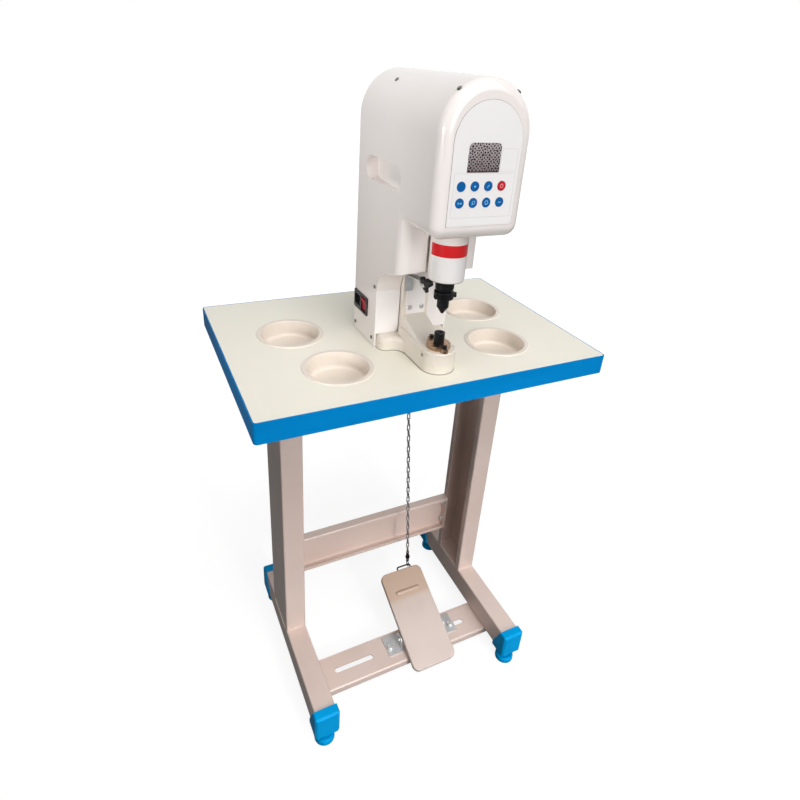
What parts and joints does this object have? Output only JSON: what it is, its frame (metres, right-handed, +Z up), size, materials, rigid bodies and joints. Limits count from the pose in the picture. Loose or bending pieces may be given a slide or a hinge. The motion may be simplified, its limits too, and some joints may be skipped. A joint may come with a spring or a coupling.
{
  "type": "eyelet machine",
  "caption": "Foot-operated electric eyelet press on a steel stand: arched white head with keypad, ram and dies, table with round cups, pedal and pull chain.",
  "frame": {"origin": "on the floor under the middle of the machine's bounding box", "axes": "+Z up, -Y towards the operator, +X to the operator's right"},
  "size_m": [0.6, 0.434, 1.135],
  "materials": {
    "table_laminate": "cream laminate on board",
    "blue_band": "satin plastic edge band",
    "cup_plastic": "satin cream plastic",
    "stand_paint": "warm beige powder coat",
    "blue_plastic": "satin moulded plastic",
    "zinc_steel": "zinc plated steel",
    "bright_steel": "machined bright steel",
    "black_steel": "blackened steel",
    "cast_white": "off-white enamel on cast iron",
    "hood_white": "gloss white moulding",
    "black_plastic": "black plastic",
    "red_plastic": "gloss red plastic",
    "panel_white": "satin white film on plate",
    "display_black": "dark display filter",
    "board_green": "circuit board",
    "brass_ring": "turned brass",
    "black_rubber": "flat rubber belt",
    "key_blue": "blue key cap",
    "key_red": "red key cap"
  },
  "bodies": {
    "stand": {"table_top": "table_laminate", "edge_band": "blue_band", "eyelet_cups": "cup_plastic", "left_column": "stand_paint", "right_column": "stand_paint", "cross_beam": "stand_paint", "left_foot_beam": "stand_paint", "right_foot_beam": "stand_paint", "pedal_bar": "stand_paint", "end_caps": "blue_plastic", "stand_fasteners": "zinc_steel", "left_pedal_bracket": "zinc_steel", "right_pedal_bracket": "zinc_steel", "pedal_pin": "bright_steel", "casting": "cast_white", "column_plate": "bright_steel", "hood": "hood_white", "lower_front_cover": "hood_white", "rear_panel": "hood_white", "cover_screws": "bright_steel", "switch_module": "black_plastic", "front_panel": "panel_white", "display_window": "display_black", "control_board": "board_green", "ram_sleeve": "hood_white", "lower_die": "black_steel", "die_ring": "brass_ring", "die_screws": "black_steel", "lamp_bracket": "zinc_steel", "aiming_lamp": "black_plastic", "cam_bearings": "bright_steel", "motor": "black_steel", "drive_belt": "black_rubber", "return_springs": "zinc_steel", "trip_switch": "black_plastic", "lever_spring": "zinc_steel"},
    "foot_pedal": {"pedal": "stand_paint"},
    "chain_top": {"top_shackle": "zinc_steel"},
    "chain_run": {"chain": "zinc_steel", "chain_hook": "black_steel"},
    "trip_arm": {"trip_lever": "zinc_steel"},
    "cam_unit": {"camshaft": "bright_steel"},
    "ram_unit": {"ram": "bright_steel", "tool_holder": "black_steel", "upper_die": "black_steel"},
    "motor_rotor": {"motor_pulley": "bright_steel"},
    "roller_unit": {"cam_roller": "bright_steel"},
    "rocker_body": {"rocker": "red_plastic"},
    "key_upper_1_body": {"key_upper_1": "key_blue"},
    "key_upper_2_body": {"key_upper_2": "key_blue"},
    "key_upper_3_body": {"key_upper_3": "key_blue"},
    "key_upper_4_body": {"key_upper_4": "key_red"},
    "key_lower_1_body": {"key_lower_1": "key_blue"},
    "key_lower_2_body": {"key_lower_2": "key_blue"},
    "key_lower_3_body": {"key_lower_3": "key_blue"},
    "key_lower_4_body": {"key_lower_4": "key_blue"},
    "foot_front_left_body": {"foot_front_left": "blue_plastic"},
    "foot_front_right_body": {"foot_front_right": "blue_plastic"},
    "foot_rear_left_body": {"foot_rear_left": "blue_plastic"},
    "foot_rear_right_body": {"foot_rear_right": "blue_plastic"}
  },
  "joints": [
    {"name": "pedal_tilt", "type": "hinge", "parent": "stand", "child": "foot_pedal", "pos_m": [0.046, -0.102, 0.047], "axis": [-1, 0, 0], "range_deg": [0, 10], "stiffness_Nm_per_rad": 15, "springref_deg": -5.73},
    {"name": "chain_pull", "type": "slide", "parent": "stand", "child": "chain_top", "axis": [0.0576, -0.0305, -0.9979], "range_m": [0, 0.02249]},
    {"name": "chain_swing", "type": "hinge", "parent": "chain_top", "child": "chain_run", "pos_m": [0.0304, 0.0424, 0.79], "axis": [1, 0, 0], "range_deg": [0, 0.911]},
    {"name": "trip_tilt", "type": "hinge", "parent": "stand", "child": "trip_arm", "pos_m": [0.0304, 0.003, 0.7789], "axis": [-1, 0, 0], "range_deg": [0, 31.83]},
    {"name": "cam_turn", "type": "hinge", "parent": "stand", "child": "cam_unit", "pos_m": [0, -0.033, 1.07], "axis": [0, 1, 0], "range_deg": [0, 180]},
    {"name": "ram_slide", "type": "slide", "parent": "stand", "child": "ram_unit", "axis": [0, 0, -1], "range_m": [0, 0.0301], "deforming": ["return_springs"]},
    {"name": "motor_spin", "type": "hinge", "parent": "stand", "child": "motor_rotor", "pos_m": [-0.044, 0.047, 0.93], "axis": [0, 1, 0], "range_deg": [0, 541]},
    {"name": "roller_spin", "type": "hinge", "parent": "ram_unit", "child": "roller_unit", "pos_m": [0, -0.123, 1.041], "axis": [0, 1, 0], "continuous": true},
    {"name": "rocker_tilt", "type": "hinge", "parent": "stand", "child": "rocker_body", "pos_m": [-0.062, 0.017, 0.777], "axis": [0, 1, 0], "range_deg": [0, 18]},
    {"name": "key_upper_1_press", "type": "slide", "parent": "stand", "child": "key_upper_1_body", "axis": [0, 1, 0], "range_m": [0, 0.0004], "stiffness_N_per_m": 800, "springref_m": -0.0005},
    {"name": "key_upper_2_press", "type": "slide", "parent": "stand", "child": "key_upper_2_body", "axis": [0, 1, 0], "range_m": [0, 0.0004], "stiffness_N_per_m": 800, "springref_m": -0.0005},
    {"name": "key_upper_3_press", "type": "slide", "parent": "stand", "child": "key_upper_3_body", "axis": [0, 1, 0], "range_m": [0, 0.0004], "stiffness_N_per_m": 800, "springref_m": -0.0005},
    {"name": "key_upper_4_press", "type": "slide", "parent": "stand", "child": "key_upper_4_body", "axis": [0, 1, 0], "range_m": [0, 0.0004], "stiffness_N_per_m": 800, "springref_m": -0.0005},
    {"name": "key_lower_1_press", "type": "slide", "parent": "stand", "child": "key_lower_1_body", "axis": [0, 1, 0], "range_m": [0, 0.0004], "stiffness_N_per_m": 800, "springref_m": -0.0005},
    {"name": "key_lower_2_press", "type": "slide", "parent": "stand", "child": "key_lower_2_body", "axis": [0, 1, 0], "range_m": [0, 0.0004], "stiffness_N_per_m": 800, "springref_m": -0.0005},
    {"name": "key_lower_3_press", "type": "slide", "parent": "stand", "child": "key_lower_3_body", "axis": [0, 1, 0], "range_m": [0, 0.0004], "stiffness_N_per_m": 800, "springref_m": -0.0005},
    {"name": "key_lower_4_press", "type": "slide", "parent": "stand", "child": "key_lower_4_body", "axis": [0, 1, 0], "range_m": [0, 0.0004], "stiffness_N_per_m": 800, "springref_m": -0.0005},
    {"name": "foot_front_left_screw", "type": "slide", "parent": "stand", "child": "foot_front_left_body", "axis": [0, 0, 1], "range_m": [-0.008, 0.004]},
    {"name": "foot_front_right_screw", "type": "slide", "parent": "stand", "child": "foot_front_right_body", "axis": [0, 0, 1], "range_m": [-0.008, 0.004]},
    {"name": "foot_rear_left_screw", "type": "slide", "parent": "stand", "child": "foot_rear_left_body", "axis": [0, 0, 1], "range_m": [-0.008, 0.004]},
    {"name": "foot_rear_right_screw", "type": "slide", "parent": "stand", "child": "foot_rear_right_body", "axis": [0, 0, 1], "range_m": [-0.008, 0.004]}
  ],
  "couplings": [
    {"joint": "chain_pull", "follows": "pedal_tilt", "m_per_rad": 0.12771},
    {"joint": "chain_swing", "follows": "pedal_tilt", "ratio": 0.086103},
    {"joint": "trip_tilt", "follows": "pedal_tilt", "ratio": 3.153},
    {"joint": "ram_slide", "follows": "cam_turn", "m_per_rad": 0.009549},
    {"joint": "motor_spin", "follows": "cam_turn", "ratio": 3}
  ]
}
